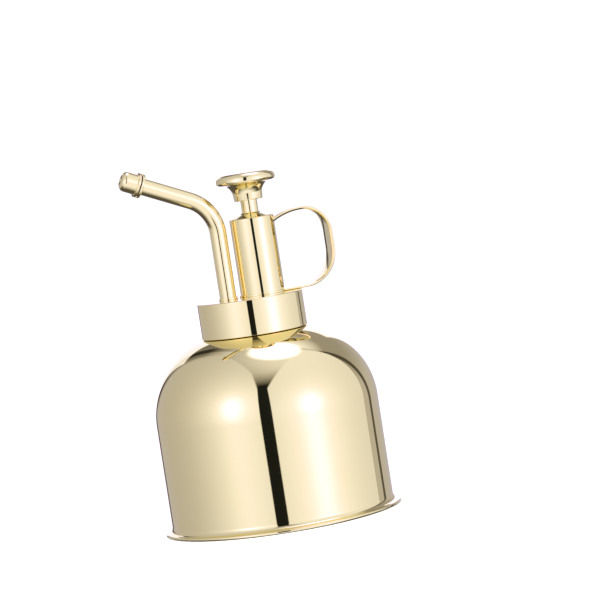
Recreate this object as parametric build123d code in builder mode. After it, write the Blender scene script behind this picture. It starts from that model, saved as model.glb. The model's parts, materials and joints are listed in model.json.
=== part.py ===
"""Top-pump plant mister in mirror-polished brass, about 130 mm tall.

A bell-shaped bottle carries a screw cap. The pump barrel, the bent spout and the finger loop stand on
the cap and turn with it. Pressing the thumb button drives a piston down inside the barrel.

Units are millimetres. The origin is on the floor at the middle of the foot. +Z is up, the spout points
to -X, and the barrel and finger loop lie towards +X.
"""

import os
from math import cos, radians, sin, sqrt

from build123d import *

os.makedirs("parts", exist_ok=True)

# Bottle
body_radius = 40.0
sheet = 0.7
wall_top = 38.9
shoulder_radius = 29.0
foot_radius = 42.5
seam_radius = 41.9
seam_height = 1.2
base_sheet = 0.6
flare_top = 3.4
flare_radius = 2.25
foot_round = 0.25
flare_start = seam_radius - 0.1
base_pocket = body_radius + 0.4
push_up_radius = 33.0
push_up = 1.2
push_up_slope = 2.0
push_up_turn = 0.2

# Neck and its thread
neck_outer = 15.0
neck_bore = 13.0
neck_bottom = 65.0
neck_top = 76.5
neck_flange = 17.2
neck_flange_height = 1.2
thread_pitch = 3.0
thread_depth = 0.95
thread_root = 1.3
thread_crest = 0.7
thread_bite = 0.2
male_thread_start = 70.1
male_thread_turns = 1.75
female_thread_start = male_thread_start - thread_pitch / 2
female_thread_turns = 2.0

# Screw cap
cap_radius = 19.0
cap_sheet = 0.6
cap_round = 0.3
cap_bottom = 67.2
cap_top = 79.8
cap_inside = cap_radius - cap_sheet
cap_ceiling = cap_top - cap_sheet
liner_bore = 16.35
liner_bottom = 67.8
gasket_outer = 16.2
gasket_top = 77.5

# Pump barrel
barrel_x = 5.15
barrel_radius = 8.0
barrel_sheet = 1.0
barrel_top = 107.4
cone_top = 109.2
sleeve_step = 0.35
sleeve_step_rise = 0.25
sleeve_lip = 0.9
sleeve_lip_drop = 0.3
sleeve_nose = 0.5
sleeve_mouth = 0.2
ring_height = 0.8
ring_step = 0.35
ring_round = 0.2
cylinder_outer = barrel_radius - barrel_sheet
cylinder_bore = 6.0
cylinder_bottom = 74.0
cylinder_top = 102.5
guide_top = 106.7
guide_gap = 0.1
rod_seal_wall = 1.8
rod_seal_top = cylinder_top + 1.8

# Plunger
rod_radius = 3.0
rod_clearance = 0.06
rod_spigot = 1.8
screw_radius = 1.4
screw_bite = 2.0
screw_head_radius = 3.0
screw_head = 1.4
screw_slot_length = 4.4
screw_slot = 0.7
piston_bottom = 86.0
piston_top = 92.0
piston_flange = 5.7
piston_hub = 4.2
groove_bottom = 87.2
groove_top = 90.8
seal_radius = 5.95
seal_heel = 0.4
seal_land = 0.5
seal_waist = 0.5
button_bottom = 113.6
button_radius = 10.7
button_top = 123.5
button_stem = 5.3
button_stem_end = button_stem - 0.35
button_stem_foot = button_stem - 0.1
button_stem_round = 0.25
button_throat = button_bottom + 2.0
button_flare = 4.0
button_socket = 119.0
button_edge_radius = 1.2
button_lip = button_radius - button_edge_radius
button_lip_height = button_throat + button_flare + 0.1
button_edge_height = button_lip_height + button_edge_radius
button_crown_radius = 2.62
button_dish = 0.42
dish_edge = button_radius - 2.9
dish_radius = (dish_edge**2 + button_dish**2) / (2 * button_dish)

# Return spring
spring_wire = 0.35
spring_radius = 4.8
spring_turns = 6
spring_clearance = 0.02

# Valve block with the inlet and outlet valves
block_radius = 12.6
block_bottom = 64.6
spigot_radius = 4.4
spigot_bottom = 51.0
inlet_chamber = 2.9
inlet_seat = 1.5
inlet_seat_height = 58.5
inlet_ball_radius = 2.2
pocket_radius = 4.0
pocket_bottom = 69.0
passage_height = 66.6
passage_radius = 1.2
outlet_passage = 1.0
outlet_seat_height = 68.0
outlet_chamber = 2.3
outlet_ball_radius = 1.7
ball_gap = 0.02
ball_lift = 1.0
cage_gap = 0.15
cage_height = 0.8
cage_rim = 0.6
cage_bar = 0.8

# Dip tube
dip_outer = 2.5
dip_bore = 1.75
dip_bottom = 5.5
dip_top = 57.0
strainer_radius = 3.4
strainer_bottom = 4.3
strainer_top = 9.5
strainer_holes = 5
strainer_hole_circle = 1.3
strainer_hole = 0.45

# Spout
spout_x = -7.7
spout_radius = 3.0
spout_bore = 2.2
spout_bottom = 74.5
spout_corner = 112.8
spout_rise = 24.8
spout_bend = 14.5
spout_arm = 28.5

# Nozzle, measured along the spout arm from the middle of its two flanges
nozzle_flange = 4.4
flange_thickness = 0.9
nozzle_gasket_radius = 3.8
nozzle_gasket_half = 0.18
nozzle_radius = 3.6
nozzle_bore = 2.75
nozzle_length = 6.8
nozzle_front = 1.7
nozzle_round = 2.0
nozzle_spigot = 2.67
nozzle_spigot_bore = 1.6
nozzle_spigot_end = 3.2
nozzle_joint = 0.5
swirl_back = 3.6
swirl_slots = 3
swirl_slot_depth = 1.4
swirl_slot = 0.9
orifice_radius = 0.45
orifice_cone = 0.5
nozzle_seal_gap = 0.05

# Finger loop strap, as arcs in the XZ plane
strap_width = 8.0
strap_thick = 1.2
strap_low = cap_top + strap_thick / 2
strap_corner_x = 20.8
strap_low_radius = 11.7
strap_right = strap_corner_x + strap_low_radius
strap_high_radius = 10.0
strap_apex = 108.6 - strap_thick / 2
strap_crown_radius = 22.0
strap_start_x = 10.6
strap_edge_radius = 0.35

arm = radians(spout_rise)
arm_direction = Vector(-cos(arm), 0, sin(arm))
arm_normal = Vector(sin(arm), 0, cos(arm))
nozzle_origin = Vector(spout_x, 0, spout_corner) + arm_direction * spout_arm

barrel_axis = Axis((barrel_x, 0, 0), (0, 0, 1))
barrel_plane = Plane(origin=(barrel_x, 0, 0), x_dir=(1, 0, 0), z_dir=(0, -1, 0))
spout_axis = Axis((spout_x, 0, 0), (0, 0, 1))
spout_plane = Plane(origin=(spout_x, 0, 0), x_dir=(1, 0, 0), z_dir=(0, -1, 0))
nozzle_axis = Axis(nozzle_origin, arm_direction)
nozzle_plane = Plane(origin=nozzle_origin, x_dir=arm_normal, z_dir=(0, -1, 0))


def shoulder_height(radius, sphere):
    """Height of the shoulder's round at a distance from the bottle's axis."""
    run = radius - (body_radius - shoulder_radius)
    return wall_top + sqrt(sphere**2 - run**2)


def save(piece, name):
    """Label a finished piece and write it as its own file."""
    piece.part.label = name
    export_step(piece.part, f"parts/{name}.step")


def ring_section(inner, outer, low, high):
    """Rectangle from one radius and height to another, in the sketch in progress."""
    with Locations(((inner + outer) / 2, (low + high) / 2)):
        Rectangle(outer - inner, high - low)


def thread_section(path, tip, root):
    """Trapezium of the thread at the start of its helix, from the crest to the buried root."""
    start = Plane(origin=path @ 0, x_dir=(1, 0, 0), z_dir=path % 0)
    with BuildSketch(start) as section:
        Polygon(
            (tip, -thread_crest / 2),
            (tip, thread_crest / 2),
            (root, thread_root / 2),
            (root, -thread_root / 2),
            align=None,
        )
    return section.sketch


# Bottle: one spun shell with a seamed foot, a base plate held in the seam, and a threaded neck ring.

mouth_outer = shoulder_height(neck_outer, shoulder_radius)
mouth_inner = shoulder_height(neck_outer, shoulder_radius - sheet)

with BuildPart() as bottle_shell:
    with BuildSketch(Plane.XZ):
        with BuildLine():
            Line((seam_radius, 0), (foot_radius - foot_round, 0))
            ThreePointArc(
                (foot_radius - foot_round, 0),
                (foot_radius, seam_height / 2),
                (foot_radius - foot_round, seam_height),
            )
            Line((foot_radius - foot_round, seam_height), (flare_start, seam_height))
            RadiusArc((flare_start, seam_height), (body_radius, flare_top), flare_radius)
            Line((body_radius, flare_top), (body_radius, wall_top))
            RadiusArc((body_radius, wall_top), (neck_outer, mouth_outer), -shoulder_radius)
            Line((neck_outer, mouth_outer), (neck_outer, mouth_inner))
            RadiusArc(
                (neck_outer, mouth_inner),
                (body_radius - sheet, wall_top),
                shoulder_radius - sheet,
            )
            Line((body_radius - sheet, wall_top), (body_radius - sheet, flare_top))
            Line((body_radius - sheet, flare_top), (base_pocket, base_sheet))
            Line((base_pocket, base_sheet), (seam_radius, base_sheet))
            Line((seam_radius, base_sheet), (seam_radius, 0))
        make_face()
    revolve(axis=Axis.Z)
save(bottle_shell, "bottle_shell")

with BuildPart() as base_plate:
    with BuildSketch(Plane.XZ):
        with BuildLine():
            Polyline(
                (0, push_up),
                (push_up_radius, push_up),
                (push_up_radius + push_up_slope, 0),
                (seam_radius, 0),
                (seam_radius, base_sheet),
                (push_up_radius + push_up_slope + push_up_turn, base_sheet),
                (push_up_radius + push_up_turn, push_up + base_sheet),
                (0, push_up + base_sheet),
                close=True,
            )
        make_face()
    revolve(axis=Axis.Z)
save(base_plate, "base_plate")

with BuildPart() as neck_ring:
    with BuildSketch(Plane.XZ):
        ring_section(neck_bore, neck_outer, neck_bottom, neck_top)
        ring_section(neck_outer, neck_flange, neck_bottom, neck_bottom + neck_flange_height)
    revolve(axis=Axis.Z)
    with BuildLine(mode=Mode.PRIVATE) as male_path:
        Helix(thread_pitch, thread_pitch * male_thread_turns, neck_outer, center=(0, 0, male_thread_start))
    sweep(
        thread_section(male_path.line, thread_depth, -thread_bite),
        path=male_path.line,
        is_frenet=True,
    )
save(neck_ring, "neck_ring")

# Screw cap: a polished shell over a threaded plastic liner, sealed by a flat gasket.

with BuildPart() as screw_cap:
    with BuildSketch(Plane.XY.offset(cap_bottom)):
        Circle(cap_radius)
    extrude(amount=cap_top - cap_bottom)
    with BuildSketch(Plane.XY.offset(cap_bottom)):
        Circle(cap_inside)
    extrude(amount=cap_ceiling - cap_bottom, mode=Mode.SUBTRACT)
    with BuildSketch(Plane.XY.offset(cap_ceiling)):
        with Locations((barrel_x, 0)):
            Circle(cylinder_outer)
        with Locations((spout_x, 0)):
            Circle(spout_radius)
    extrude(amount=cap_sheet, mode=Mode.SUBTRACT)
    rims = screw_cap.edges().filter_by(GeomType.CIRCLE)
    fillet(rims.filter_by(lambda edge: edge.radius > cap_inside + cap_sheet / 2), cap_round)
save(screw_cap, "screw_cap")

with BuildPart() as cap_liner:
    with BuildSketch(Plane.XY.offset(liner_bottom)):
        Circle(cap_inside)
        Circle(liner_bore, mode=Mode.SUBTRACT)
    extrude(amount=cap_ceiling - liner_bottom)
    with BuildLine(mode=Mode.PRIVATE) as female_path:
        Helix(
            thread_pitch,
            thread_pitch * female_thread_turns,
            liner_bore,
            center=(0, 0, female_thread_start),
        )
    sweep(
        thread_section(female_path.line, -thread_depth, thread_bite),
        path=female_path.line,
        is_frenet=True,
    )
save(cap_liner, "cap_liner")

with BuildPart() as cap_gasket:
    with BuildSketch(Plane.XY.offset(neck_top)):
        Circle(gasket_outer)
        Circle(neck_bore, mode=Mode.SUBTRACT)
    extrude(amount=gasket_top - neck_top)
save(cap_gasket, "cap_gasket")

# Valve block: clamped under the cap, it holds the cylinder, both ball valves, the spout and the dip tube.

with BuildPart() as valve_block:
    with BuildSketch(Plane.XY.offset(block_bottom)):
        Circle(block_radius)
    extrude(amount=gasket_top - block_bottom)
    with BuildSketch(Plane.XY.offset(gasket_top)):
        Circle(gasket_outer)
    extrude(amount=cap_ceiling - gasket_top)
    with BuildSketch(Plane.XY.offset(spigot_bottom)):
        with Locations((barrel_x, 0)):
            Circle(spigot_radius)
    extrude(amount=block_bottom - spigot_bottom)
    with BuildSketch(barrel_plane):
        with BuildLine():
            Polyline(
                (0, spigot_bottom),
                (dip_outer, spigot_bottom),
                (dip_outer, dip_top),
                (inlet_seat, dip_top),
                (inlet_seat, inlet_seat_height),
                (inlet_chamber, inlet_seat_height + inlet_chamber - inlet_seat),
                (inlet_chamber, pocket_bottom),
                (pocket_radius, pocket_bottom),
                (pocket_radius, cylinder_bottom),
                (cylinder_outer, cylinder_bottom),
                (cylinder_outer, cap_ceiling),
                (0, cap_ceiling),
                close=True,
            )
        make_face()
    revolve(axis=barrel_axis, mode=Mode.SUBTRACT)
    with BuildSketch(spout_plane):
        with BuildLine():
            Polyline(
                (0, passage_height),
                (outlet_passage, passage_height),
                (outlet_passage, outlet_seat_height),
                (outlet_chamber, outlet_seat_height + outlet_chamber - outlet_passage),
                (outlet_chamber, spout_bottom),
                (spout_radius, spout_bottom),
                (spout_radius, cap_ceiling),
                (0, cap_ceiling),
                close=True,
            )
        make_face()
    revolve(axis=spout_axis, mode=Mode.SUBTRACT)
    with BuildSketch(Plane.YZ.offset(spout_x - passage_radius)):
        with Locations((0, passage_height)):
            Circle(passage_radius)
    extrude(amount=barrel_x - spout_x + passage_radius, mode=Mode.SUBTRACT)
save(valve_block, "valve_block")

inlet_ball_height = inlet_seat_height - inlet_seat + inlet_ball_radius * sqrt(2) + ball_gap
outlet_ball_height = outlet_seat_height - outlet_passage + outlet_ball_radius * sqrt(2) + ball_gap

with BuildPart() as inlet_ball:
    with Locations((barrel_x, 0, inlet_ball_height)):
        Sphere(inlet_ball_radius)
save(inlet_ball, "inlet_ball")

with BuildPart() as outlet_ball:
    with Locations((spout_x, 0, outlet_ball_height)):
        Sphere(outlet_ball_radius)
save(outlet_ball, "outlet_ball")

cages = {
    "inlet_cage": (barrel_x, inlet_ball_height + inlet_ball_radius, inlet_chamber),
    "outlet_cage": (spout_x, outlet_ball_height + outlet_ball_radius, outlet_chamber),
}
for cage_name, (cage_x, ball_top, cage_radius) in cages.items():
    with BuildPart() as cage:
        with BuildSketch(Plane.XY.offset(ball_top + ball_lift + cage_gap)):
            with Locations((cage_x, 0)):
                Circle(cage_radius)
                Circle(cage_radius - cage_rim, mode=Mode.SUBTRACT)
                Rectangle(2 * cage_radius - cage_rim, cage_bar)
        extrude(amount=cage_height)
    save(cage, cage_name)

with BuildPart() as dip_tube:
    with BuildSketch(Plane.XY.offset(dip_bottom)):
        with Locations((barrel_x, 0)):
            Circle(dip_outer)
            Circle(dip_bore, mode=Mode.SUBTRACT)
    extrude(amount=dip_top - dip_bottom)
save(dip_tube, "dip_tube")

with BuildPart() as dip_strainer:
    with BuildSketch(Plane.XY.offset(strainer_bottom)):
        with Locations((barrel_x, 0)):
            Circle(strainer_radius)
    extrude(amount=strainer_top - strainer_bottom)
    with BuildSketch(Plane.XY.offset(dip_bottom)):
        with Locations((barrel_x, 0)):
            Circle(dip_outer)
    extrude(amount=strainer_top - dip_bottom, mode=Mode.SUBTRACT)
    with BuildSketch(Plane.XY.offset(strainer_bottom)):
        with Locations((barrel_x, 0)):
            with PolarLocations(strainer_hole_circle, strainer_holes):
                Circle(strainer_hole)
    extrude(amount=dip_bottom - strainer_bottom, mode=Mode.SUBTRACT)
save(dip_strainer, "dip_strainer")

# Pump barrel: a polished sleeve with a coned top, the plastic cylinder inside it, and the rod's guide.

with BuildPart() as barrel_sleeve:
    with BuildSketch(barrel_plane):
        with BuildLine():
            Polyline(
                (cylinder_outer, cap_top),
                (barrel_radius, cap_top),
                (barrel_radius, barrel_top),
                (barrel_radius - sleeve_step, barrel_top + sleeve_step_rise),
                (rod_radius + sleeve_lip, cone_top - sleeve_lip_drop),
                (rod_radius + sleeve_nose, cone_top),
                (rod_radius + sleeve_mouth, cone_top),
                (rod_radius + sleeve_mouth, cone_top - sleeve_lip),
                (cylinder_outer, guide_top + guide_gap),
                close=True,
            )
        make_face()
    revolve(axis=barrel_axis)
save(barrel_sleeve, "barrel_sleeve")

with BuildPart() as barrel_ring:
    with BuildSketch(barrel_plane):
        ring_section(barrel_radius, barrel_radius + ring_step, cap_top, cap_top + ring_height)
    revolve(axis=barrel_axis)
    rims = barrel_ring.edges().group_by(Axis.Z)[-1].sort_by(SortBy.LENGTH)[-1:]
    fillet(rims, ring_round)
save(barrel_ring, "barrel_ring")

with BuildPart() as pump_cylinder:
    with BuildSketch(Plane.XY.offset(cylinder_bottom)):
        with Locations((barrel_x, 0)):
            Circle(cylinder_outer)
            Circle(cylinder_bore, mode=Mode.SUBTRACT)
    extrude(amount=cylinder_top - cylinder_bottom)
save(pump_cylinder, "pump_cylinder")

with BuildPart() as rod_guide:
    with BuildSketch(barrel_plane):
        ring_section(rod_radius + rod_clearance, cylinder_outer, rod_seal_top, guide_top)
        ring_section(rod_radius + rod_seal_wall, cylinder_outer, cylinder_top, rod_seal_top)
    revolve(axis=barrel_axis)
save(rod_guide, "rod_guide")

with BuildPart() as rod_seal:
    with BuildSketch(barrel_plane):
        ring_section(
            rod_radius + rod_clearance,
            rod_radius + rod_seal_wall,
            cylinder_top + guide_gap,
            rod_seal_top,
        )
    revolve(axis=barrel_axis)
save(rod_seal, "rod_seal")

# Plunger: button, rod, and a piston with its seal, held on the rod's end by a screw.

with BuildPart() as thumb_button:
    with BuildSketch(barrel_plane):
        with BuildLine():
            Line((0, button_socket), (rod_radius, button_socket))
            Line((rod_radius, button_socket), (rod_radius, button_bottom))
            Polyline(
                (rod_radius, button_bottom),
                (button_stem_end, button_bottom),
                (button_stem_foot, button_bottom + button_stem_round),
                (button_stem, button_throat),
            )
            RadiusArc(
                (button_stem, button_throat),
                (button_stem + button_flare, button_throat + button_flare),
                button_flare,
            )
            Line((button_stem + button_flare, button_throat + button_flare), (button_lip, button_lip_height))
            RadiusArc((button_lip, button_lip_height), (button_radius, button_edge_height), -button_edge_radius)
            RadiusArc((button_radius, button_edge_height), (dish_edge, button_top), -button_crown_radius)
            RadiusArc((dish_edge, button_top), (0, button_top - button_dish), dish_radius)
            Line((0, button_top - button_dish), (0, button_socket))
        make_face()
    revolve(axis=barrel_axis)
save(thumb_button, "thumb_button")

with BuildPart() as plunger_rod:
    with BuildSketch(barrel_plane):
        with BuildLine():
            Polyline(
                (screw_radius, piston_bottom),
                (rod_spigot, piston_bottom),
                (rod_spigot, piston_top),
                (rod_radius, piston_top),
                (rod_radius, button_socket),
                (0, button_socket),
                (0, piston_top + screw_bite),
                (screw_radius, piston_top + screw_bite),
                close=True,
            )
        make_face()
    revolve(axis=barrel_axis)
save(plunger_rod, "plunger_rod")

with BuildPart() as piston:
    with BuildSketch(barrel_plane):
        ring_section(rod_spigot, piston_hub, piston_bottom, piston_top)
        ring_section(piston_hub, piston_flange, piston_bottom, groove_bottom)
        ring_section(piston_hub, piston_flange, groove_top, piston_top)
    revolve(axis=barrel_axis)
save(piston, "piston")

with BuildPart() as piston_seal:
    with BuildSketch(barrel_plane):
        with BuildLine():
            Polyline(
                (piston_hub, groove_bottom),
                (seal_radius - seal_heel, groove_bottom),
                (seal_radius, groove_bottom + seal_land),
                (seal_radius, groove_bottom + 2 * seal_land),
                (seal_radius - seal_waist, groove_bottom + 3 * seal_land),
                (seal_radius - seal_waist, groove_top - 3 * seal_land),
                (seal_radius, groove_top - 2 * seal_land),
                (seal_radius, groove_top - seal_land),
                (seal_radius - seal_heel, groove_top),
                (piston_hub, groove_top),
                close=True,
            )
        make_face()
    revolve(axis=barrel_axis)
save(piston_seal, "piston_seal")

with BuildPart() as piston_screw:
    with BuildSketch(barrel_plane):
        ring_section(0, screw_head_radius, piston_bottom - screw_head, piston_bottom)
        ring_section(0, screw_radius, piston_bottom, piston_top + screw_bite)
    revolve(axis=barrel_axis)
    with BuildSketch(Plane.XY.offset(piston_bottom - screw_head)):
        with Locations((barrel_x, 0)):
            Rectangle(screw_slot_length, screw_slot)
    extrude(amount=screw_slot, mode=Mode.SUBTRACT)
save(piston_screw, "piston_screw")

with BuildPart() as return_spring:
    spring_start = cylinder_bottom + spring_wire + spring_clearance
    spring_height = piston_bottom - spring_wire - spring_clearance - spring_start
    with BuildLine(mode=Mode.PRIVATE) as spring_path:
        Helix(
            spring_height / spring_turns,
            spring_height,
            spring_radius,
            center=(barrel_x, 0, spring_start),
        )
    with BuildSketch(Plane(origin=spring_path.line @ 0, z_dir=spring_path.line % 0)) as wire_section:
        Circle(spring_wire)
    sweep(wire_section.sketch, path=spring_path.line, is_frenet=True)
save(return_spring, "return_spring")

# Spout: a tube bent once, with a bead at its foot and a nozzle screwed on its tip.

with BuildPart() as spout_tube:
    tip = nozzle_origin - arm_direction * nozzle_joint
    with BuildLine(mode=Mode.PRIVATE) as spout_path:
        FilletPolyline(
            (spout_x, 0, spout_bottom),
            (spout_x, 0, spout_corner),
            tuple(tip),
            radius=spout_bend,
        )
    with BuildSketch(Plane.XY.offset(spout_bottom)) as spout_section:
        with Locations((spout_x, 0)):
            Circle(spout_radius)
            Circle(spout_bore, mode=Mode.SUBTRACT)
    sweep(spout_section.sketch, path=spout_path.line)
save(spout_tube, "spout_tube")

with BuildPart() as spout_ring:
    with BuildSketch(spout_plane):
        ring_section(spout_radius, spout_radius + ring_step, cap_top, cap_top + ring_height)
    revolve(axis=spout_axis)
    rims = spout_ring.edges().group_by(Axis.Z)[-1].sort_by(SortBy.LENGTH)[-1:]
    fillet(rims, ring_round)
save(spout_ring, "spout_ring")

with BuildPart() as nozzle_collar:
    with BuildSketch(nozzle_plane):
        ring_section(
            spout_radius,
            nozzle_flange,
            -nozzle_gasket_half - flange_thickness,
            -nozzle_gasket_half,
        )
        ring_section(nozzle_spigot_bore, spout_radius, -nozzle_joint, -nozzle_gasket_half)
        ring_section(nozzle_spigot_bore, nozzle_spigot, -nozzle_gasket_half, nozzle_spigot_end)
    revolve(axis=nozzle_axis)
save(nozzle_collar, "nozzle_collar")

with BuildPart() as nozzle_seal:
    with BuildSketch(nozzle_plane):
        ring_section(
            nozzle_spigot + nozzle_seal_gap,
            nozzle_gasket_radius,
            -nozzle_gasket_half,
            nozzle_gasket_half,
        )
    revolve(axis=nozzle_axis)
save(nozzle_seal, "nozzle_seal")

with BuildPart() as nozzle_cap:
    flange_front = nozzle_gasket_half + flange_thickness
    with BuildSketch(nozzle_plane):
        with BuildLine():
            Line((nozzle_bore, nozzle_gasket_half), (nozzle_flange, nozzle_gasket_half))
            Line((nozzle_flange, nozzle_gasket_half), (nozzle_flange, flange_front))
            Line((nozzle_flange, flange_front), (nozzle_radius, flange_front))
            Line((nozzle_radius, flange_front), (nozzle_radius, nozzle_length - nozzle_round))
            RadiusArc(
                (nozzle_radius, nozzle_length - nozzle_round),
                (nozzle_radius - nozzle_round, nozzle_length),
                -nozzle_round,
            )
            Polyline(
                (nozzle_radius - nozzle_round, nozzle_length),
                (orifice_radius + orifice_cone, nozzle_length),
                (orifice_radius, nozzle_length - orifice_cone),
                (orifice_radius, nozzle_length - nozzle_front),
                (nozzle_bore, nozzle_length - nozzle_front),
                (nozzle_bore, nozzle_gasket_half),
            )
        make_face()
    revolve(axis=nozzle_axis)
save(nozzle_cap, "nozzle_cap")

with BuildPart() as nozzle_swirl:
    with BuildSketch(Plane(origin=nozzle_origin + arm_direction * swirl_back, z_dir=arm_direction)):
        Circle(nozzle_bore)
        with PolarLocations(nozzle_bore, swirl_slots):
            Rectangle(swirl_slot_depth, swirl_slot, mode=Mode.SUBTRACT)
    extrude(amount=nozzle_length - nozzle_front - swirl_back)
save(nozzle_swirl, "nozzle_swirl")

# Finger loop: one strap from the barrel's top round to the top of the cap.

strap_high_x = strap_right - strap_high_radius
strap_high_z = strap_apex - strap_high_radius


def strap_edge(inset):
    """One face of the strap: its centre line moved towards the finger. Returns its last point."""
    low = strap_low + inset
    right = strap_right - inset
    apex = strap_apex - inset
    crown = strap_crown_radius - inset
    last = (strap_start_x, apex - crown + sqrt(crown**2 - (strap_high_x - strap_start_x) ** 2))
    Line((strap_start_x, low), (strap_corner_x, low))
    RadiusArc((strap_corner_x, low), (right, strap_low + strap_low_radius), inset - strap_low_radius)
    Line((right, strap_low + strap_low_radius), (right, strap_high_z))
    RadiusArc((right, strap_high_z), (strap_high_x, apex), inset - strap_high_radius)
    RadiusArc((strap_high_x, apex), last, -crown)
    return last


with BuildPart() as finger_loop:
    with BuildSketch(Plane.XZ):
        with BuildLine():
            outer_end = strap_edge(-strap_thick / 2)
            inner_end = strap_edge(strap_thick / 2)
            Line(outer_end, inner_end)
            Line((strap_start_x, strap_low - strap_thick / 2), (strap_start_x, strap_low + strap_thick / 2))
        make_face()
    extrude(amount=strap_width / 2, both=True)
    sides = finger_loop.faces().filter_by(Plane.XZ).edges()
    fillet(sides.filter_by(lambda edge: edge.length > 2 * strap_thick), strap_edge_radius)
    with BuildSketch(Plane.XY.offset(cap_top - 1)):
        with Locations((barrel_x, 0)):
            Circle(barrel_radius)
    extrude(amount=cone_top - cap_top + 2, mode=Mode.SUBTRACT)
    with BuildSketch(Plane.XY.offset(cap_top - 1)):
        with Locations((barrel_x, 0)):
            Circle(barrel_radius + ring_step)
    extrude(amount=1 + ring_height, mode=Mode.SUBTRACT)
save(finger_loop, "finger_loop")
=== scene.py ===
"""Looks of the plant mister: mirror-polished champagne gold in a white photographic studio.

Every visible metal piece is turned, swept or bent here at high resolution, in the place that the frame
gives it, because a mirror finish shows every facet. Units are metres; lengths given in millimetres are
multiplied by MM.
"""

import json
from math import acos, asin, atan2, cos, pi, radians, sin

import bpy
from mathutils import Matrix, Vector


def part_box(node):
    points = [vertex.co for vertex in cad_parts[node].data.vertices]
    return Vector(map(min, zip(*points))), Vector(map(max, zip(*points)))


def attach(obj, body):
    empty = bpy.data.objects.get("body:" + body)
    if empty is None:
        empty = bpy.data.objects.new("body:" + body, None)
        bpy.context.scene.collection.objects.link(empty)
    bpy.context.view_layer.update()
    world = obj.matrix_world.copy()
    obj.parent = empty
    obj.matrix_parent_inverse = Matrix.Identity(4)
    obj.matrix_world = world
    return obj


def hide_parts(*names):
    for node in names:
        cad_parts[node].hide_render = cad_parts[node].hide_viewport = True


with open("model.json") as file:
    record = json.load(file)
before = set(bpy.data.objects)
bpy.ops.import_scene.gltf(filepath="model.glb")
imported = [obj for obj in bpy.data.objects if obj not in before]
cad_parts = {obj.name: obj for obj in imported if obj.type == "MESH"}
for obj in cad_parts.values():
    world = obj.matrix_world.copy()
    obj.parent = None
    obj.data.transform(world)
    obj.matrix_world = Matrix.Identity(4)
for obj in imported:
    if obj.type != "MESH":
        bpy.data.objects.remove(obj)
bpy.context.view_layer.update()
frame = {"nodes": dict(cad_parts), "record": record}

MM = 0.001


# ---------------------------------------------------------------- places taken from the frame


def low(node):
    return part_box(node)[0]


def high(node):
    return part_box(node)[1]


def radius_of(node):
    """Radius of a round upright node."""
    return (high(node).x - low(node).x) / 2


def axis_of(node):
    """X of a round upright node's axis."""
    return (high(node).x + low(node).x) / 2


barrel_x = axis_of("barrel_sleeve")
spout_x = axis_of("spout_ring")
cap_top = high("screw_cap").z
barrel_radius = radius_of("barrel_sleeve")

# ---------------------------------------------------------------- profiles and meshes


def bow(centre, radius, start, end, steps):
    """Points of an arc, in degrees from the outward radial direction towards +Z."""
    points = []
    for step in range(steps + 1):
        angle = radians(start + (end - start) * step / steps)
        points.append((centre[0] + radius * cos(angle), centre[1] + radius * sin(angle)))
    return points


def eased(corners, default=0.12, steps=5, share=0.45):
    """Closed or open outline with every corner rounded. A corner is (r, z) or (r, z, radius). A round takes
    at most that share of the runs beside it."""
    points = []
    count = len(corners)
    for index, corner in enumerate(corners):
        here = Vector(corner[:2])
        wanted = corner[2] if len(corner) > 2 else default
        before = Vector(corners[index - 1][:2]) - here
        after = Vector(corners[(index + 1) % count][:2]) - here
        on_axis = here.x < 1e-9
        if wanted == 0 or on_axis:
            points.append(tuple(here))
            continue
        turn = before.angle(after)
        if pi - turn < radians(6):
            points.append(tuple(here))
            continue
        cotangent = cos(turn / 2) / sin(turn / 2)
        reach = min(wanted * cotangent, before.length * share, after.length * share)
        start = here + before.normalized() * reach
        end = here + after.normalized() * reach
        radius = reach / cotangent
        middle = (before.normalized() + after.normalized()).normalized()
        centre = here + middle * radius / sin(turn / 2)
        first = atan2(start.y - centre.y, start.x - centre.x)
        last = atan2(end.y - centre.y, end.x - centre.x)
        sweep = (last - first + pi) % (2 * pi) - pi
        for step in range(steps + 1):
            angle = first + sweep * step / steps
            points.append((centre.x + radius * cos(angle), centre.y + radius * sin(angle)))
    return points


def outline_normals(points, closed):
    """Outward normals of an outline, each weighted by the lengths of the runs beside it."""
    area = 0.0
    for index, point in enumerate(points):
        other = points[(index + 1) % len(points)]
        area += point[0] * other[1] - other[0] * point[1]
    side = 1 if area > 0 else -1
    normals = []
    last = len(points) - 1
    for index, point in enumerate(points):
        total = Vector((0, 0))
        for a, b in ((index - 1, index), (index, index + 1)):
            if not closed and (a < 0 or b > last):
                continue
            run = Vector(points[b % len(points)]) - Vector(points[a])
            total += Vector((run.y, -run.x)) * side
        normals.append(total.normalized() if total.length > 0 else Vector((1, 0)))
    return normals


def add_mesh(name, vertices, faces, normals, body, slot, node=None):
    """Makes one smooth piece with its own normals, rides it on its body and gives it its finish."""
    mesh = bpy.data.meshes.new(name)
    mesh.from_pydata(vertices, [], faces)
    mesh.validate()
    mesh.update()
    mesh.polygons.foreach_set("use_smooth", [True] * len(mesh.polygons))
    mesh.normals_split_custom_set_from_vertices(normals)
    piece = bpy.data.objects.new(name, mesh)
    bpy.context.scene.collection.objects.link(piece)
    mesh.materials.append(finishes[slot])
    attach(piece, body)
    if node:
        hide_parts(node)
    return piece


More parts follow.
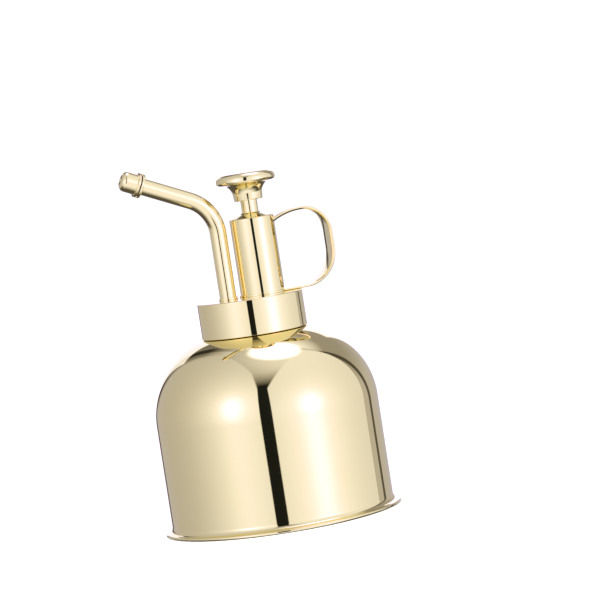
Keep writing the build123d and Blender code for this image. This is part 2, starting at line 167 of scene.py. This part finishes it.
def turned(name, outline, body, slot, node=None, axis_x=0.0, segments=192, place=None):
    """A solid of revolution. An outline that starts and ends on the axis is open, any other closed."""
    closed = outline[0][0] > 1e-9
    flat_normals = outline_normals(outline, closed)
    place = place or Matrix.Translation((axis_x, 0, 0))
    turn = place.to_3x3()
    vertices, normals, rings = [], [], []
    for (radius, height), flat in zip(outline, flat_normals):
        ring = []
        steps = segments if radius > 1e-9 else 1
        for step in range(steps):
            angle = 2 * pi * step / segments
            spoke = Vector((cos(angle), sin(angle), 0))
            ring.append(len(vertices))
            vertices.append(place @ (spoke * radius + Vector((0, 0, height))))
            if steps > 1:
                normal = spoke * flat.x + Vector((0, 0, flat.y))
            else:
                normal = Vector((0, 0, 1 if flat.y > 0 else -1))
            normals.append((turn @ normal).normalized())
        rings.append(ring)
    faces = []
    count = len(rings)
    for index in range(count if closed else count - 1):
        lower, upper = rings[index], rings[(index + 1) % count]
        for step in range(segments):
            following = (step + 1) % segments
            if len(lower) == 1:
                faces.append((lower[0], upper[following], upper[step]))
            elif len(upper) == 1:
                faces.append((lower[step], lower[following], upper[0]))
            else:
                faces.append((lower[step], lower[following], upper[following], upper[step]))
    faces = facing_out(vertices, faces, normals)
    return add_mesh(name, vertices, faces, normals, body, slot, node)


def facing_out(vertices, faces, normals):
    """The faces wound so that they agree with the normals of their corners."""
    wound = []
    for face in faces:
        a, b, c = (vertices[index] for index in face[:3])
        across = (b - a).cross(c - a)
        agreed = sum((normals[index] for index in face), Vector((0, 0, 0)))
        wound.append(face if across.dot(agreed) >= 0 else tuple(reversed(face)))
    return wound


def swept(name, path, section, body, slot, node=None):
    """A closed section carried along a path in the XZ plane. Section points are (across, along Y)."""
    flat_normals = outline_normals(section, True)
    vertices, normals, rings = [], [], []
    for index, point in enumerate(path):
        before = path[max(index - 1, 0)]
        after = path[min(index + 1, len(path) - 1)]
        forward = (after - before).normalized()
        across = Vector((forward.z, 0, -forward.x))
        ring = []
        for (u, v), flat in zip(section, flat_normals):
            ring.append(len(vertices))
            vertices.append(point + across * u + Vector((0, v, 0)))
            normals.append((across * flat.x + Vector((0, flat.y, 0))).normalized())
        rings.append(ring)
    faces = []
    for lower, upper in zip(rings, rings[1:]):
        for step in range(len(section)):
            following = (step + 1) % len(section)
            faces.append((lower[step], lower[following], upper[following], upper[step]))
    faces = facing_out(vertices, faces, normals)
    faces.append(tuple(rings[0]))
    faces.append(tuple(reversed(rings[-1])))
    return add_mesh(name, vertices, faces, normals, body, slot, node)


# ---------------------------------------------------------------- finishes


def new_material(name):
    material = bpy.data.materials.new(name)
    material.use_nodes = True
    tree = material.node_tree
    return material, tree, tree.nodes["Principled BSDF"]


def noise(tree, scale, detail=3.0, stretch=(1, 1, 1), roughness=0.5):
    """Noise in the piece's own coordinates."""
    coordinates = tree.nodes.new("ShaderNodeTexCoord")
    mapping = tree.nodes.new("ShaderNodeMapping")
    mapping.inputs["Scale"].default_value = stretch
    texture = tree.nodes.new("ShaderNodeTexNoise")
    texture.inputs["Scale"].default_value = scale
    texture.inputs["Detail"].default_value = detail
    texture.inputs["Roughness"].default_value = roughness
    tree.links.new(coordinates.outputs["Object"], mapping.inputs["Vector"])
    tree.links.new(mapping.outputs["Vector"], texture.inputs["Vector"])
    return texture.outputs["Fac"]


def ranged(tree, value, low_value, high_value, start=0.3, end=0.7):
    node = tree.nodes.new("ShaderNodeMapRange")
    node.inputs["From Min"].default_value = start
    node.inputs["From Max"].default_value = end
    node.inputs["To Min"].default_value = low_value
    node.inputs["To Max"].default_value = high_value
    tree.links.new(value, node.inputs["Value"])
    return node.outputs["Result"]


def tinted(tree, value, first, second):
    """Colour that runs from the first to the second as the value goes from 0 to 1."""
    mix = tree.nodes.new("ShaderNodeMix")
    mix.data_type = "RGBA"
    mix.inputs["A"].default_value = (*first, 1)
    mix.inputs["B"].default_value = (*second, 1)
    tree.links.new(value, mix.inputs["Factor"])
    return mix.outputs["Result"]


def bumped(tree, shader, height, distance, strength=1.0):
    bump = tree.nodes.new("ShaderNodeBump")
    bump.inputs["Strength"].default_value = strength
    bump.inputs["Distance"].default_value = distance
    tree.links.new(height, bump.inputs["Height"])
    tree.links.new(bump.outputs["Normal"], shader.inputs["Normal"])


def polished_gold(name, colour, roughness, buff):
    """Mirror-polished plating: slight warmth variation, patchy polish and faint buffing marks."""
    material, tree, shader = new_material(name)
    shader.inputs["Metallic"].default_value = 1.0
    clouds = noise(tree, 55.0, 2.0)
    warm = tuple(channel * factor for channel, factor in zip(colour, (1.0, 0.985, 0.95)))
    base = tinted(tree, ranged(tree, clouds, 0.0, 1.0), colour, warm)
    tree.links.new(base, shader.inputs["Base Color"])
    haze = noise(tree, 130.0, 4.0)
    tree.links.new(ranged(tree, haze, roughness * 0.7, roughness * 1.4), shader.inputs["Roughness"])
    marks = noise(tree, 900.0, 4.0, (0.15, 0.15, 3.0), 0.6)
    bumped(tree, shader, marks, buff)
    return material


def moulded(name, colour, roughness, grain, transmission=0.0):
    """Moulded plastic or rubber with a fine grain and slightly uneven gloss."""
    material, tree, shader = new_material(name)
    mottle = noise(tree, 240.0, 3.0)
    darker = tuple(channel * 0.82 for channel in colour)
    base = tinted(tree, ranged(tree, mottle, 0.0, 1.0), colour, darker)
    tree.links.new(base, shader.inputs["Base Color"])
    tree.links.new(ranged(tree, mottle, roughness * 0.85, roughness * 1.15), shader.inputs["Roughness"])
    shader.inputs["Transmission Weight"].default_value = transmission
    bumped(tree, shader, noise(tree, 4000.0, 2.0), grain)
    return material


def steel(name):
    """Drawn stainless steel with fine lengthwise lines."""
    material, tree, shader = new_material(name)
    shader.inputs["Metallic"].default_value = 1.0
    lines = noise(tree, 1500.0, 3.0, (1, 1, 0.1))
    base = tinted(tree, lines, (0.62, 0.62, 0.63), (0.7, 0.7, 0.71))
    tree.links.new(base, shader.inputs["Base Color"])
    tree.links.new(ranged(tree, lines, 0.16, 0.3), shader.inputs["Roughness"])
    bumped(tree, shader, lines, 0.002 * MM)
    return material


GOLD = (0.93, 0.825, 0.44)

finishes = {
    "polished_gold": polished_gold("polished_gold", GOLD, 0.03, 0.0002 * MM),
    "polished_gold_trim": polished_gold("polished_gold_trim", GOLD, 0.045, 0.0003 * MM),
    "base_gold": polished_gold("base_gold", (0.88, 0.74, 0.44), 0.16, 0.002 * MM),
    "black_plastic": moulded("black_plastic", (0.028, 0.028, 0.03), 0.42, 0.01 * MM),
    "clear_plastic": moulded("clear_plastic", (0.8, 0.83, 0.82), 0.24, 0.004 * MM, 0.35),
    "seal_rubber": moulded("seal_rubber", (0.02, 0.02, 0.021), 0.6, 0.012 * MM),
    "bare_steel": steel("bare_steel"),
}

for part in frame["record"]["subparts"]:
    cad = frame["nodes"][part["node"]]
    cad.data.materials.clear()
    cad.data.materials.append(finishes[part["material_slot"]])

# ---------------------------------------------------------------- bottle

body_radius = 40.0 * MM
foot_radius = radius_of("bottle_shell")
sheet = 0.7 * MM
shoulder = 29.0 * MM
shoulder_centre = (body_radius - shoulder, 38.9 * MM)
mouth = 15.0 * MM
seam = high("base_plate").x
flare = 2.25 * MM
flare_top = 3.4 * MM
flare_centre = (body_radius + flare, flare_top)


def shoulder_angle(radius, size):
    """Angle of the shoulder's arc at a distance from the bottle's axis."""
    return acos((radius - shoulder_centre[0]) / size) * 180 / pi


def make_bottle():
    outer = shoulder
    inner = shoulder - sheet
    lip = 0.6 * MM
    pocket = 0.4 * MM
    pocket_top = 0.62 * MM
    seam_foot = 0.12 * MM
    outline = bow((foot_radius - lip, lip), lip, -90, 90, 12)
    outline += bow(flare_centre, flare, 250, 180, 14)
    outline += bow(shoulder_centre, outer, 0, shoulder_angle(mouth, outer), 64)
    outline += bow(shoulder_centre, inner, shoulder_angle(mouth, inner), 0, 48)
    outline += [(body_radius - sheet, flare_top), (body_radius + pocket, pocket_top)]
    outline += [(seam, lip), (seam, seam_foot)]
    turned("bottle_shell_turned", outline, "bottle", "polished_gold", "bottle_shell", segments=256)


def make_base():
    thick = 0.6 * MM
    rise = high("base_plate").z - thick
    push = 33.0 * MM
    outline = eased(
        [
            (0, rise),
            (push, rise, 1.6 * MM),
            (push + 2 * MM, 0, 1.6 * MM),
            (seam - 0.12 * MM, 0, 0.2 * MM),
            (seam - 0.05 * MM, thick),
            (push + 2.2 * MM, thick, 1.4 * MM),
            (push + 0.2 * MM, rise + thick, 1.4 * MM),
            (0, rise + thick),
        ],
        0.1 * MM,
    )
    turned("base_plate_pressed", outline, "bottle", "base_gold", "base_plate", segments=192)


# ---------------------------------------------------------------- screw cap


def make_cap():
    """The polished shell. Its top is a plate with the pump and the spout standing on it."""
    radius = radius_of("screw_cap")
    bottom = low("screw_cap").z - 0.14 * MM
    wall = 0.6 * MM
    hole = 2.0 * MM
    outline = eased(
        [
            (hole, cap_top),
            (radius, cap_top, 0.45 * MM),
            (radius, bottom, 0.28 * MM),
            (radius - wall, bottom, 0.2 * MM),
            (radius - wall, cap_top - wall, 0.4 * MM),
            (hole, cap_top - wall),
        ],
        0.1 * MM,
        8,
    )
    turned("screw_cap_spun", outline, "head", "polished_gold", "screw_cap", segments=224)


# ---------------------------------------------------------------- pump barrel and plunger


def make_barrel():
    top = high("barrel_sleeve").z
    bore = barrel_radius - 1.0 * MM
    rod = radius_of("plunger_rod")
    outline = eased(
        [
            (bore, cap_top),
            (barrel_radius, cap_top),
            (barrel_radius, top - 1.8 * MM, 0.6 * MM),
            (rod + 1.1 * MM, top - 0.42 * MM, 1.2 * MM),
            (rod + 0.55 * MM, top, 0.25 * MM),
            (rod + 0.22 * MM, top, 0.1 * MM),
            (rod + 0.22 * MM, top - 0.9 * MM),
            (bore, top - 2.4 * MM),
        ],
        0.1 * MM,
        7,
    )
    turned("barrel_sleeve_turned", outline, "head", "polished_gold", "barrel_sleeve", barrel_x, 160)


def make_bead(node, inner, axis_x):
    """Small half-round bead at the foot of the barrel or the spout."""
    bottom, top = low(node).z, high(node).z
    outer = radius_of(node)
    outline = eased(
        [
            (inner, bottom),
            (outer, bottom, 0.08 * MM),
            (outer, top, 0.28 * MM),
            (inner, top),
        ],
        0.05 * MM,
        6,
    )
    turned(node + "_turned", outline, "head", "polished_gold_trim", node, axis_x, 128)


def make_button():
    """Mushroom button: stem, trumpet flare, fat rounded rim and a shallow dish for the thumb."""
    bottom, top = low("thumb_button").z, high("thumb_button").z
    outer = radius_of("thumb_button")
    rod = radius_of("plunger_rod")
    stem = 5.3 * MM
    throat = 4.0 * MM
    waist = bottom + 2.0 * MM
    rim = 1.2 * MM
    rim_height = waist + throat + 0.1 * MM + rim
    dish = 0.42 * MM
    dish_edge = outer - 2.9 * MM
    dish_radius = (dish_edge**2 + dish**2) / (2 * dish)
    half_dish = asin(dish_edge / dish_radius) * 180 / pi
    socket = bottom + 5.4 * MM
    outline = [(0.0, socket), (rod, socket), (rod, bottom + 0.1 * MM), (rod + 0.1 * MM, bottom)]
    outline += eased(
        [
            (rod + 0.1 * MM, bottom, 0),
            (stem - 0.2 * MM, bottom, 0.3 * MM),
            (stem, waist, 0),
        ],
        steps=6,
    )[1:-1]
    outline += bow((stem + throat, waist), throat, 180, 92, 28)
    outline += bow((outer - rim, rim_height), rim, -82, 0, 14)
    for step in range(1, 19):
        angle = radians(90 * step / 18)
        across = dish_edge + (outer - dish_edge) * cos(angle)
        outline.append((across, rim_height + (top - rim_height) * sin(angle)))
    for step in range(1, 12):
        angle = radians(half_dish * (1 - step / 12))
        outline.append((dish_radius * sin(angle), top - dish + dish_radius * (1 - cos(angle))))
    outline.append((0.0, top - dish))
    turned("thumb_button_turned", outline, "plunger", "polished_gold", "thumb_button", barrel_x, 192)


def make_rod():
    bottom, top = low("plunger_rod").z, high("plunger_rod").z
    rod = radius_of("plunger_rod")
    spigot = 1.8 * MM
    shoulder_height = bottom + 6.0 * MM
    outline = eased(
        [
            (0, top),
            (rod, top, 0.2 * MM),
            (rod, shoulder_height, 0.15 * MM),
            (spigot, shoulder_height, 0.1 * MM),
            (spigot, bottom, 0.1 * MM),
            (0, bottom),
        ],
        0.1 * MM,
    )
    turned("plunger_rod_turned", outline, "plunger", "polished_gold_trim", "plunger_rod", barrel_x, 128)


# ---------------------------------------------------------------- spout and nozzle

SPOUT_RISE = radians(24.8)
SPOUT_RADIUS = 3.0 * MM
SPOUT_ARM = 28.5 * MM
SPOUT_JOINT = 0.5 * MM
arm = Vector((-cos(SPOUT_RISE), 0, sin(SPOUT_RISE)))
spout_corner = Vector((spout_x, 0, 112.8 * MM))
spout_bend = 14.5 * MM
nozzle_origin = spout_corner + arm * SPOUT_ARM
nozzle_place = Matrix.Translation(nozzle_origin) @ arm.to_track_quat("Z", "Y").to_matrix().to_4x4()


def make_spout():
    """Bent tube: up from the cap, round one bend, then out along the arm."""
    bore = 2.2 * MM
    turn = pi / 2 - SPOUT_RISE
    reach = spout_bend * sin(turn / 2) / cos(turn / 2)
    centre = spout_corner + Vector((-spout_bend, 0, -reach))
    lead = 1 * MM
    path = [Vector((spout_x, 0, low("spout_tube").z)), Vector((spout_x, 0, cap_top))]
    path.append(spout_corner - Vector((0, 0, reach + lead)))
    steps = 40
    for step in range(steps + 1):
        angle = turn * step / steps
        path.append(centre + Vector((spout_bend * cos(angle), 0, spout_bend * sin(angle))))
    path.append(spout_corner + arm * (reach + lead))
    path.append(nozzle_origin - arm * SPOUT_JOINT)
    piped("spout_tube_bent", path, SPOUT_RADIUS, bore, "head", "polished_gold", "spout_tube")


def piped(name, path, outer, inner, body, slot, node, segments=96):
    """A round pipe along a path in the XZ plane, with its bore open at both ends."""
    vertices, normals, rings = [], [], []
    loops = [(outer, 1, path), (inner, -1, path[::-1])]
    for radius, sense, points in loops:
        for index, point in enumerate(points):
            before = points[max(index - 1, 0)]
            after = points[min(index + 1, len(points) - 1)]
            forward = (after - before).normalized() * sense
            across = Vector((forward.z, 0, -forward.x))
            ring = []
            for step in range(segments):
                angle = 2 * pi * step / segments
                spoke = across * cos(angle) + Vector((0, sin(angle), 0))
                ring.append(len(vertices))
                vertices.append(point + spoke * radius)
                normals.append(spoke * sense)
            rings.append(ring)
    faces = []
    for index, lower in enumerate(rings):
        upper = rings[(index + 1) % len(rings)]
        for step in range(segments):
            following = (step + 1) % segments
            faces.append((lower[step], lower[following], upper[following], upper[step]))
    faces = facing_out(vertices, faces, normals)
    return add_mesh(name, vertices, faces, normals, body, slot, node)


def make_nozzle():
    """Two thin flanges with the seal between them, and a round-nosed cap with its spray orifice."""
    seal = 0.18 * MM
    flange = 0.9 * MM
    wide = 4.4 * MM
    nose = 6.8 * MM
    body = 3.6 * MM
    bore = 2.75 * MM
    front = 1.7 * MM
    orifice = 0.45 * MM
    cone = 0.5 * MM
    spigot = 2.67 * MM
    spigot_bore = 1.6 * MM
    spigot_end = 3.2 * MM
    collar = eased(
        [
            (spigot_bore, -SPOUT_JOINT),
            (SPOUT_RADIUS, -SPOUT_JOINT),
            (SPOUT_RADIUS, -seal - flange),
            (wide, -seal - flange, 0.2 * MM),
            (wide, -seal, 0.16 * MM),
            (spigot, -seal),
            (spigot, spigot_end, 0.2 * MM),
            (spigot_bore, spigot_end, 0.1 * MM),
        ],
        0.05 * MM,
    )
    trim = "polished_gold_trim"
    turned("nozzle_collar_turned", collar, "head", trim, "nozzle_collar", segments=128, place=nozzle_place)
    cap = eased(
        [
            (bore, seal),
            (wide, seal, 0.16 * MM),
            (wide, seal + flange, 0.2 * MM),
            (body, seal + flange, 0.18 * MM),
            (body, nose, 2.0 * MM),
            (orifice + 0.55 * MM, nose, 0.1 * MM),
            (orifice, nose - cone, 0.05 * MM),
            (orifice, nose - front, 0.05 * MM),
            (bore, nose - front),
        ],
        0.05 * MM,
        9,
        0.8,
    )
    turned("nozzle_cap_turned", cap, "spray_head", trim, "nozzle_cap", segments=144, place=nozzle_place)


# ---------------------------------------------------------------- finger loop


def make_loop():
    """One strap, bent in arcs from the top of the cap round to the top of the barrel."""
    half_width = 4.0 * MM
    half_thick = 0.6 * MM
    edge = 0.42 * MM
    bottom = cap_top + half_thick
    corner_x = 20.8 * MM
    low_radius = 11.7 * MM
    right = corner_x + low_radius
    high_radius = 10.0 * MM
    apex = 108.0 * MM
    crown = 22.0 * MM
    buried = 6.2 * MM
    start_x = barrel_x + buried
    steps = 30
    path = [Vector((start_x, 0, bottom)), Vector((corner_x - 0.5 * MM, 0, bottom))]
    for step in range(steps + 1):
        angle = radians(-90 + 90 * step / steps)
        low_z = bottom + low_radius + low_radius * sin(angle)
        path.append(Vector((corner_x + low_radius * cos(angle), 0, low_z)))
    top_x, top_z = right - high_radius, apex - high_radius
    for step in range(steps + 1):
        angle = radians(90 * step / steps)
        path.append(Vector((top_x + high_radius * cos(angle), 0, top_z + high_radius * sin(angle))))
    last = asin((top_x - start_x) / crown)
    for step in range(1, steps + 1):
        angle = last * step / steps
        path.append(Vector((top_x - crown * sin(angle), 0, apex - crown + crown * cos(angle))))
    section = eased(
        [
            (half_thick, -half_width, edge),
            (half_thick, half_width, edge),
            (-half_thick, half_width, edge),
            (-half_thick, -half_width, edge),
        ],
        steps=6,
    )
    swept("finger_loop_strap", path, section, "head", "polished_gold", "finger_loop")


make_bottle()
make_base()
make_cap()
make_barrel()
make_bead("barrel_ring", barrel_radius, barrel_x)
make_bead("spout_ring", SPOUT_RADIUS, spout_x)
make_button()
make_rod()
make_spout()
make_nozzle()
make_loop()

# ---------------------------------------------------------------- camera

CAMERA_AZIMUTH = radians(-15.0)
CAMERA_DISTANCE = 1.08
CAMERA_HEIGHT = 0.146
CAMERA_ROLL = radians(8.8)
CAMERA_LENS = 183.0
AIM_RIGHT = 17.6 * MM
AIM_HEIGHT = 75.7 * MM

view_right = Vector((cos(CAMERA_AZIMUTH), sin(CAMERA_AZIMUTH), 0))
view_away = Vector((-sin(CAMERA_AZIMUTH), cos(CAMERA_AZIMUTH), 0))


def make_camera():
    data = bpy.data.cameras.new("camera")
    data.lens = CAMERA_LENS
    data.sensor_width = 36.0
    data.clip_start = 0.05
    data.clip_end = 50.0
    camera = bpy.data.objects.new("camera", data)
    bpy.context.scene.collection.objects.link(camera)
    camera.location = view_away * -CAMERA_DISTANCE + Vector((0, 0, CAMERA_HEIGHT))
    aim = view_right * AIM_RIGHT + Vector((0, 0, AIM_HEIGHT))
    look = (aim - camera.location).to_track_quat("-Z", "Y")
    camera.rotation_mode = "QUATERNION"
    camera.rotation_quaternion = look @ Matrix.Rotation(-CAMERA_ROLL, 3, "Z").to_quaternion()
    bpy.context.scene.camera = camera


make_camera()

# ---------------------------------------------------------------- studio


def numbers(tree, operation, first, second=None, third=None):
    """A Math node. Each argument is a number or a socket."""
    node = tree.nodes.new("ShaderNodeMath")
    node.operation = operation
    for index, value in enumerate((first, second, third)):
        if value is None:
            continue
        if isinstance(value, (int, float)):
            node.inputs[index].default_value = value
        else:
            tree.links.new(value, node.inputs[index])
    return node.outputs[0]


def towards(azimuth, elevation):
    """Unit vector in the studio: azimuth 0 is towards the camera at rest and +90 is to its right."""
    a, e = radians(azimuth), radians(elevation)
    sideways, away, up = sin(a) * cos(e), -cos(a) * cos(e), sin(e)
    return view_right * sideways + view_away * away + Vector((0, 0, up))


class Studio:
    """What the metal mirrors, as a function of direction: two tall softboxes with a dark slit between
    them, a top light, a white backdrop with darker stripes beside it, and a floor."""

    def __init__(self, tree):
        self.tree = tree
        self.ray = tree.nodes.new("ShaderNodeTexCoord").outputs["Generated"]

    def along(self, direction):
        node = self.tree.nodes.new("ShaderNodeVectorMath")
        node.operation = "DOT_PRODUCT"
        node.inputs[1].default_value = direction
        self.tree.links.new(self.ray, node.inputs[0])
        return node.outputs["Value"]

    def glow(self, azimuth, elevation, spread, strength):
        """A soft round light. It falls to about a third at the spread, in degrees."""
        facing = numbers(self.tree, "SUBTRACT", self.along(towards(azimuth, elevation)), 1.0)
        scaled = numbers(self.tree, "MULTIPLY", facing, 1.0 / (1.0 - cos(radians(spread))))
        fallen = numbers(self.tree, "EXPONENT", scaled)
        return numbers(self.tree, "MULTIPLY", fallen, strength)

    def inside(self, normal, softness, offset=0.0):
        """1 on the inner side of a straight panel edge, whose normal points outwards, and 0 beyond."""
        node = self.tree.nodes.new("ShaderNodeMapRange")
        node.interpolation_type = "SMOOTHSTEP"
        node.inputs["From Min"].default_value = offset - softness
        node.inputs["From Max"].default_value = offset + softness
        node.inputs["To Min"].default_value = 1.0
        node.inputs["To Max"].default_value = 0.0
        self.tree.links.new(self.along(normal), node.inputs["Value"])
        return node.outputs["Result"]

    def stripe(self, normal, softness, half_width):
        """1 in a straight stripe on both sides of a plane, and 0 beyond."""
        return self.all_of(
            self.inside(normal, softness, half_width),
            self.inside(-normal, softness, half_width),
        )

    def sloping(self, direction, first, last, low_value, high_value):
        """Number that runs evenly along a direction from one value to another, and is level beyond."""
        node = self.tree.nodes.new("ShaderNodeMapRange")
        node.inputs["From Min"].default_value = first
        node.inputs["From Max"].default_value = last
        node.inputs["To Min"].default_value = low_value
        node.inputs["To Max"].default_value = high_value
        self.tree.links.new(self.along(direction), node.inputs["Value"])
        return node.outputs["Result"]

    def disc(self, azimuth, elevation, core, reach):
        """1 within the core of a round light, and 0 beyond its reach. Both are in degrees."""
        node = self.tree.nodes.new("ShaderNodeMapRange")
        node.interpolation_type = "SMOOTHSTEP"
        node.inputs["From Min"].default_value = cos(radians(reach))
        node.inputs["From Max"].default_value = cos(radians(core))
        self.tree.links.new(self.along(towards(azimuth, elevation)), node.inputs["Value"])
        return node.outputs["Result"]

    def edge(self, sideways, away, up):
        """Normal of a panel edge, from its parts to the right, away from the camera and up."""
        return (view_right * sideways + view_away * away + Vector((0, 0, up))).normalized()

    def all_of(self, *values):
        total = values[0]
        for value in values[1:]:
            total = numbers(self.tree, "MULTIPLY", total, value)
        return total

    def sum_of(self, *values):
        total = values[0]
        for value in values[1:]:
            total = numbers(self.tree, "ADD", total, value)
        return total


WHITE_ROOM = (1.1, 1.1, 1.1, 1.0)


def make_world():
    """The metal mirrors the studio. Everything else, the camera among it, sees a plain white room."""
    world = bpy.data.worlds.new("studio")
    bpy.context.scene.world = world
    world.use_nodes = True
    tree = world.node_tree
    studio = Studio(tree)
    crisp, firm, soft = 0.008, 0.02, 0.05
    upwards = Vector((0, 0, 1))

    # The two softboxes: straight edges, and the glows of the lamps behind their cloth
    left_panel = studio.all_of(
        studio.inside(studio.edge(0.990, -0.135, 0.0), crisp),
        studio.inside(studio.edge(0.990, -0.009, 0.143), firm),
        studio.inside(studio.edge(0.945, 0.218, 0.242), firm),
        studio.inside(studio.edge(0.878, 0.467, 0.104), soft),
    )
    halo = studio.glow(133, 76, 40, 0.15)
    left_light = studio.sum_of(
        0.52,
        halo,
        studio.glow(-30, 14, 48, 0.56),
        studio.glow(-37, 21, 11.5, 0.5),
        studio.glow(-37, 9, 12, 0.35),
    )
    right_panel = studio.all_of(
        studio.inside(studio.edge(-0.997, -0.079, 0.0), crisp),
        studio.inside(studio.edge(-0.895, 0.240, 0.377), firm),
        studio.inside(studio.edge(-0.47, 0.883, 0.0), crisp),
    )
    right_light = studio.sum_of(
        0.78,
        halo,
        studio.glow(46, 2, 40, 0.32),
        studio.glow(46, 10, 13, 0.5),
        studio.glow(47, -2, 13, 0.28),
    )

    # The dark slit between the softboxes opens upwards into a pale ceiling with a round lamp in it
    over_slit = numbers(tree, "SUBTRACT", 1.0, numbers(tree, "MAXIMUM", left_panel, right_panel))
    opening = studio.sloping(upwards, 0.69, 0.90, 0.018, 0.62)
    haze = studio.sloping(upwards, 0.90, 1.0, 0.0, 0.14)
    brighter_right = studio.sloping(view_right, -0.5, 0.5, 0.6, 1.4)
    top = studio.all_of(studio.sum_of(opening, haze), brighter_right, over_slit)
    overhead = numbers(tree, "MULTIPLY", studio.disc(133, 76, 10.5, 18.5), 1.3)

    # Behind the mister: the white backdrop, and darker stripes and greys on both sides of it
    backdrop = studio.all_of(
        studio.inside(studio.edge(-0.893, -0.325, -0.310), firm),
        studio.inside(studio.edge(0.918, -0.247, -0.310), firm),
        studio.inside(studio.edge(0.0, 0.0, 1.0), firm, 0.47),
    )
    rear = studio.all_of(studio.inside(studio.edge(0.0, -1.0, 0.0), soft, -0.3), over_slit)
    right_stripe = studio.stripe(studio.edge(0.632, -0.740, -0.229), crisp, 0.045)
    left_stripe = studio.stripe(studio.edge(0.917, 0.399, 0.0), crisp, 0.044)
    rear_left = studio.sloping(upwards, 0.0, 0.10, 0.55, 0.2)
    rear_right = studio.sloping(upwards, 0.1, 0.45, 0.5, 0.34)
    on_right = studio.sloping(view_right, -0.02, 0.02, 0.0, 1.0)
    on_left = numbers(tree, "SUBTRACT", 1.0, on_right)
    beside_left_stripe = numbers(tree, "SUBTRACT", 1.0, numbers(tree, "MULTIPLY", left_stripe, 0.85))
    beside_right_stripe = numbers(tree, "SUBTRACT", 1.0, numbers(tree, "MULTIPLY", right_stripe, 0.8))
    behind = studio.sum_of(
        studio.all_of(rear, on_left, rear_left, beside_left_stripe),
        studio.all_of(rear, on_right, rear_right, beside_right_stripe),
    )

    # Below the level: bright towards the camera and dark away from it
    floor = studio.inside(studio.edge(0.0, 0.0, 1.0), 0.1, -0.28)
    floor_light = studio.sloping(view_away, -0.75, -0.1, 1.0, 0.12)
    above = studio.sum_of(
        top,
        behind,
        overhead,
        studio.all_of(left_panel, left_light),
        studio.all_of(right_panel, right_light),
        numbers(tree, "MULTIPLY", backdrop, 0.85),
    )
    below = studio.all_of(floor, floor_light)
    not_floor = numbers(tree, "SUBTRACT", 1.0, floor)
    metal_view = studio.sum_of(studio.all_of(above, not_floor), below)

    # Warmer and deeper mid tones, near-neutral shadows and highlights that stay white
    graded = numbers(tree, "MULTIPLY", numbers(tree, "POWER", metal_view, 1.1), 1.05)
    dim_green = numbers(tree, "POWER", graded, 1.06)
    bright_green = numbers(tree, "POWER", graded, 0.6)
    green = numbers(tree, "MINIMUM", dim_green, bright_green)
    blue = numbers(tree, "POWER", graded, 1.2)
    tint = tree.nodes.new("ShaderNodeCombineColor")
    tree.links.new(graded, tint.inputs["Red"])
    tree.links.new(numbers(tree, "MULTIPLY_ADD", green, 0.992, 0.004), tint.inputs["Green"])
    tree.links.new(numbers(tree, "MULTIPLY_ADD", blue, 1.27, 0.008), tint.inputs["Blue"])
    reflected = tree.nodes.new("ShaderNodeLightPath").outputs["Is Glossy Ray"]
    seen = tree.nodes.new("ShaderNodeMix")
    seen.data_type = "RGBA"
    tree.links.new(reflected, seen.inputs["Factor"])
    seen.inputs["A"].default_value = WHITE_ROOM
    tree.links.new(tint.outputs["Color"], seen.inputs["B"])
    tree.links.new(seen.outputs["Result"], tree.nodes["Background"].inputs["Color"])


def make_floor():
    """Pale sweep that the mister stands on. The metal doesn't mirror it, so that it shows the studio."""
    size = 6.0
    mesh = bpy.data.meshes.new("floor")
    corners = [(-size, -size, 0), (size, -size, 0), (size, size, 0), (-size, size, 0)]
    mesh.from_pydata(corners, [], [(0, 1, 2, 3)])
    floor = bpy.data.objects.new("floor", mesh)
    bpy.context.scene.collection.objects.link(floor)
    material, tree, shader = new_material("pale_floor")
    patches = noise(tree, 3.0, 2.0)
    base = tinted(tree, patches, (0.93, 0.93, 0.93), (0.96, 0.96, 0.955))
    tree.links.new(base, shader.inputs["Base Color"])
    shader.inputs["Roughness"].default_value = 0.9
    shader.inputs["Specular IOR Level"].default_value = 0.0
    mesh.materials.append(material)
    floor.visible_glossy = False


def make_light(name, azimuth, elevation, distance, size, watts):
    data = bpy.data.lights.new(name, "AREA")
    data.shape = "SQUARE"
    data.size = size
    data.energy = watts
    lamp = bpy.data.objects.new(name, data)
    bpy.context.scene.collection.objects.link(lamp)
    out = towards(azimuth, elevation)
    lamp.location = out * distance + Vector((0, 0, 60 * MM))
    lamp.rotation_euler = out.to_track_quat("Z", "Y").to_euler()
    lamp.visible_camera = False
    lamp.visible_glossy = False


make_world()
make_floor()
make_light("left_softbox", -40, 35, 1.2, 1.0, 6.0)
make_light("top_softbox", 30, 75, 1.3, 0.9, 6.0)

scene = bpy.context.scene
scene.view_settings.view_transform = "Standard"
scene.view_settings.look = "None"
